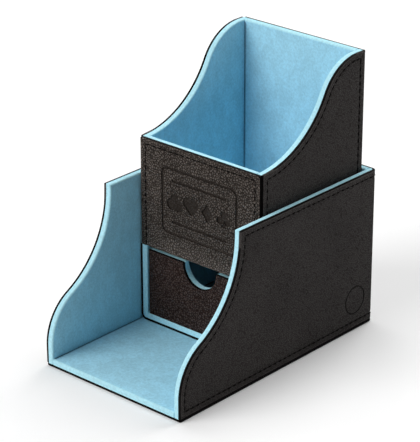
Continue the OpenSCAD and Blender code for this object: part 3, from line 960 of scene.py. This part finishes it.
def press_pattern(panel, low, high):
    """Presses a row of card suits between two lines, inside a frame, into the front of a panel."""
    sizes = bpy.context.scene.card_box_pressed
    middle = Vector(((low.x + high.x) / 2, low.y, (low.z + high.z) / 2))
    place = Matrix.Translation(middle) @ Matrix.Rotation(math.pi / 2, 4, "X")

    lines = bmesh.new()
    for width, height, corner, up in (
        (sizes.width, sizes.height, sizes.corner, 0),
        (0.72 * sizes.width, sizes.line, 0, 0.31 * sizes.height),
        (0.72 * sizes.width, sizes.line, 0, -0.31 * sizes.height),
    ):
        made = bmesh.ops.create_grid(
            lines, x_segments=1, y_segments=1, size=0.5,
            matrix=Matrix.Translation((0, up, 0)) @ Matrix.Diagonal((width, height, 1, 1)),
        )["verts"]
        if corner:
            rounded = bmesh.ops.bevel(
                lines, geom=made, offset=corner, offset_type="OFFSET", segments=8, profile=0.5,
                affect="VERTICES", material=-1,
            )
            flat_ring(lines, rounded["verts"][0].link_faces[0], sizes.line)
    press(panel, lines, sizes.depth, place, pressed_leather())

    suits = bmesh.new()
    step = 1.12 * sizes.suit
    for k, parts in enumerate(suit_parts(sizes.suit)):
        for x, y, radius, sides, turn, stretch in parts:
            at = Matrix.Translation((x + (k - 1.5) * step, y, 0)) @ Matrix.Diagonal((stretch, 1, 1, 1))
            bmesh.ops.create_circle(
                suits, cap_ends=True, segments=sides, radius=radius, matrix=at @ Matrix.Rotation(turn, 4, "Z")
            )
    press(panel, suits, sizes.depth, place, pressed_leather())


class CARDBOX_OT_drawer_leather(Operator):
    """Makes the drawer's leathers: its face with the finger notch, the wrap under it, and the back."""

    bl_idname = "cardbox.drawer_leather"
    bl_label = "Drawer Leather"

    def execute(self, context):
        for node, name, slot, material in (
            ("drawer_front_leather", "drawer_face_leather", "face_leather", drawer_leather()),
            ("drawer_back_leather", "drawer_rear_leather", "cover_leather", cover_leather()),
        ):
            bm = copied(node)
            painted(bm, [f for f in bm.faces if abs(f.normal.y) > 0.5])
            round_rim(bm, 0.25 * MM)
            mark_rim(bm)
            finished(bm, name, "drawer", slot, [node], material, edge_paint())
        bm = copied("drawer_cover")
        painted(bm, [f for f in bm.faces if abs(f.normal.y) < 0.5 and f.normal.z < 0.5])
        mark_rim(bm)
        finished(bm, "drawer_wrap_leather", "drawer", "cover_leather", ["drawer_cover"], cover_leather(), edge_paint())
        return {"FINISHED"}


class CARDBOX_OT_linings(Operator):
    """Makes the linings, softly rounded where they turn over the boards, with painted highlight on the crests and
    painted shade in the inner corners.
    """

    bl_idname = "cardbox.linings"
    bl_label = "Linings"

    def execute(self, context):
        sizes = context.scene.card_box_lining
        for body, nodes in LININGS.items():
            for node in nodes:
                bm = copied(node)
                crest = bm.verts.layers.float.new("crest")
                seam = bm.loops.layers.float.new("seam")
                inside = max(
                    bm.faces, key=lambda f: (round(f.calc_area() / MM**2), f.normal.dot(FORWARDS + UPWARDS))
                )
                normal = inside.normal.copy()
                level = inside.verts[0].co.dot(normal)
                # Only the floors, the backs and the front are plain rectangles, and the corners are on their edges
                cornered = len(inside.verts) == 4
                inner = [e for e in inside.edges if turned_edge(e, normal)]
                turned = set(round_off(bm, inner, sizes.inner_round, 5)["verts"])
                outer = [e for e in bm.edges if turned_edge(e, normal)]
                turned |= set(round_off(bm, outer, sizes.outer_round, 4)["verts"])
                # Painted highlight on the crests
                paint_crest_highlight(crest, [v for v in turned if v.is_valid], normal, level)
                # Painted shade along the inner corners of the plain rectangles
                if cornered:
                    paint_corner_shade(bm, seam, normal, level, sizes.corner)
                finished(bm, node + "_suede", body, "microfibre_lining", [node], suede_lining())
        return {"FINISHED"}


def turned_edge(edge, normal):
    """Whether a sharp outward edge of a lining, whose inside faces a direction, lies on the crest over the board."""
    if len(edge.link_faces) != 2 or edge.calc_face_angle_signed(0) < math.radians(30):
        return False
    return any(
        face.normal.dot(FORWARDS + UPWARDS) > 0.5 and abs(face.normal.dot(normal)) < 0.5 for face in edge.link_faces
    )


class CARDBOX_OT_cores(Operator):
    """Dresses the greyboard cores and the magnets, which show where the linings and leathers stop."""

    bl_idname = "cardbox.cores"
    bl_label = "Cores"

    def execute(self, context):
        repaint([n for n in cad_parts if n.endswith("_board")], greyboard())
        # The ends of the drawer's front board show beside its face, so they are brushed like the leather's edge
        repaint(["drawer_front_board"], edge_paint())
        repaint(["shell_magnets", "box_magnets"], plated_magnet())
        return {"FINISHED"}


class CARDBOX_OT_stage(Operator):
    """Makes the paper floor, the lamps, the surround and the camera."""

    bl_idname = "cardbox.stage"
    bl_label = "Stage"

    def execute(self, context):
        scene = context.scene
        studio = scene.card_box_studio
        scene.view_settings.view_transform = "Standard"

        bm = bmesh.new()
        bmesh.ops.create_circle(bm, cap_ends=True, segments=96, radius=4, matrix=Matrix.Translation((0, 0, -0.1 * MM)))
        mesh = bpy.data.meshes.new("paper_floor")
        bm.to_mesh(mesh)
        bm.free()
        mesh.materials.append(studio_paper())
        floor = bpy.data.objects.new("paper_floor", mesh)
        scene.collection.objects.link(floor)

        world = bpy.data.worlds.new("white surround")
        world.use_nodes = True
        world.node_tree.nodes.clear()
        light = add(world, "ShaderNodeBackground", {"Color": (1, 1, 1, 1)}, {"Strength": seen(world, 1.0, studio.sky)})
        add(world, "ShaderNodeOutputWorld", {}, {"Surface": light.outputs["Background"]})
        scene.world = world

        target = Vector(studio.target)
        for name, strength, azimuth, elevation in (
            ("key_lamp", studio.key, -22, 33), ("back_lamp", studio.back, 180, 45),
            ("left_lamp", studio.left, -112, 50), ("top_lamp", studio.top, 0, 89),
        ):
            soft_sun(scene, name, strength, math.radians(azimuth), math.radians(elevation), math.radians(45))

        camera = bpy.data.objects.new("camera", bpy.data.cameras.new("camera"))
        camera.data.lens = studio.lens
        camera.data.sensor_width = 36
        back = direction(studio.azimuth, studio.elevation)
        camera.location = target + back * studio.distance
        camera.rotation_euler = back.to_track_quat("Z", "Y").to_euler()
        scene.collection.objects.link(camera)
        scene.camera = camera
        return {"FINISHED"}


def soft_sun(scene, name, strength, azimuth, elevation, angle):
    """A far, wide lamp that lights the object and the paper evenly."""
    light = bpy.data.lights.new(name, "SUN")
    light.energy = strength
    light.angle = angle
    lamp = bpy.data.objects.new(name, light)
    lamp.rotation_euler = direction(azimuth, elevation).to_track_quat("Z", "Y").to_euler()
    scene.collection.objects.link(lamp)


def direction(azimuth, elevation):
    """Unit vector towards a place round the object; azimuth 0 is the front and grows to the right."""
    flat = math.cos(elevation)
    return Vector((math.sin(azimuth) * flat, -math.cos(azimuth) * flat, math.sin(elevation)))


OPERATORS = [
    CARDBOX_OT_shell_leather, CARDBOX_OT_box_leather, CARDBOX_OT_drawer_leather,
    CARDBOX_OT_linings, CARDBOX_OT_cores, CARDBOX_OT_stage,
]


class CARDBOX_PT_panel(Panel):
    """Lists the steps and the sizes of the card box."""

    bl_idname = "CARDBOX_PT_panel"
    bl_label = "Card Box"
    bl_space_type = "VIEW_3D"
    bl_region_type = "UI"
    bl_category = "Card Box"

    def draw(self, context):
        column = self.layout.column()
        for step in OPERATORS:
            column.operator(step.bl_idname)
        for group in PROPERTIES:
            column.separator()
            for name in getattr(context.scene, group).__annotations__:
                column.prop(getattr(context.scene, group), name)


PROPERTIES = {
    "card_box_sewing": SewingSizes,
    "card_box_lining": LiningSizes,
    "card_box_pressed": PressedSizes,
    "card_box_finishes": Finishes,
    "card_box_studio": StudioLook,
}


def register():
    for group in PROPERTIES.values():
        bpy.utils.register_class(group)
    for name, group in PROPERTIES.items():
        setattr(bpy.types.Scene, name, PointerProperty(type=group))
    for kind in [*OPERATORS, CARDBOX_PT_panel]:
        bpy.utils.register_class(kind)


def unregister():
    for kind in [CARDBOX_PT_panel, *reversed(OPERATORS)]:
        bpy.utils.unregister_class(kind)
    for name, group in PROPERTIES.items():
        delattr(bpy.types.Scene, name)
        bpy.utils.unregister_class(group)


def main():
    """Makes every piece and the stage."""
    register()
    for step in OPERATORS:
        group, name = step.bl_idname.split(".")
        getattr(getattr(bpy.ops, group), name)()


if __name__ == "__main__":
    main()
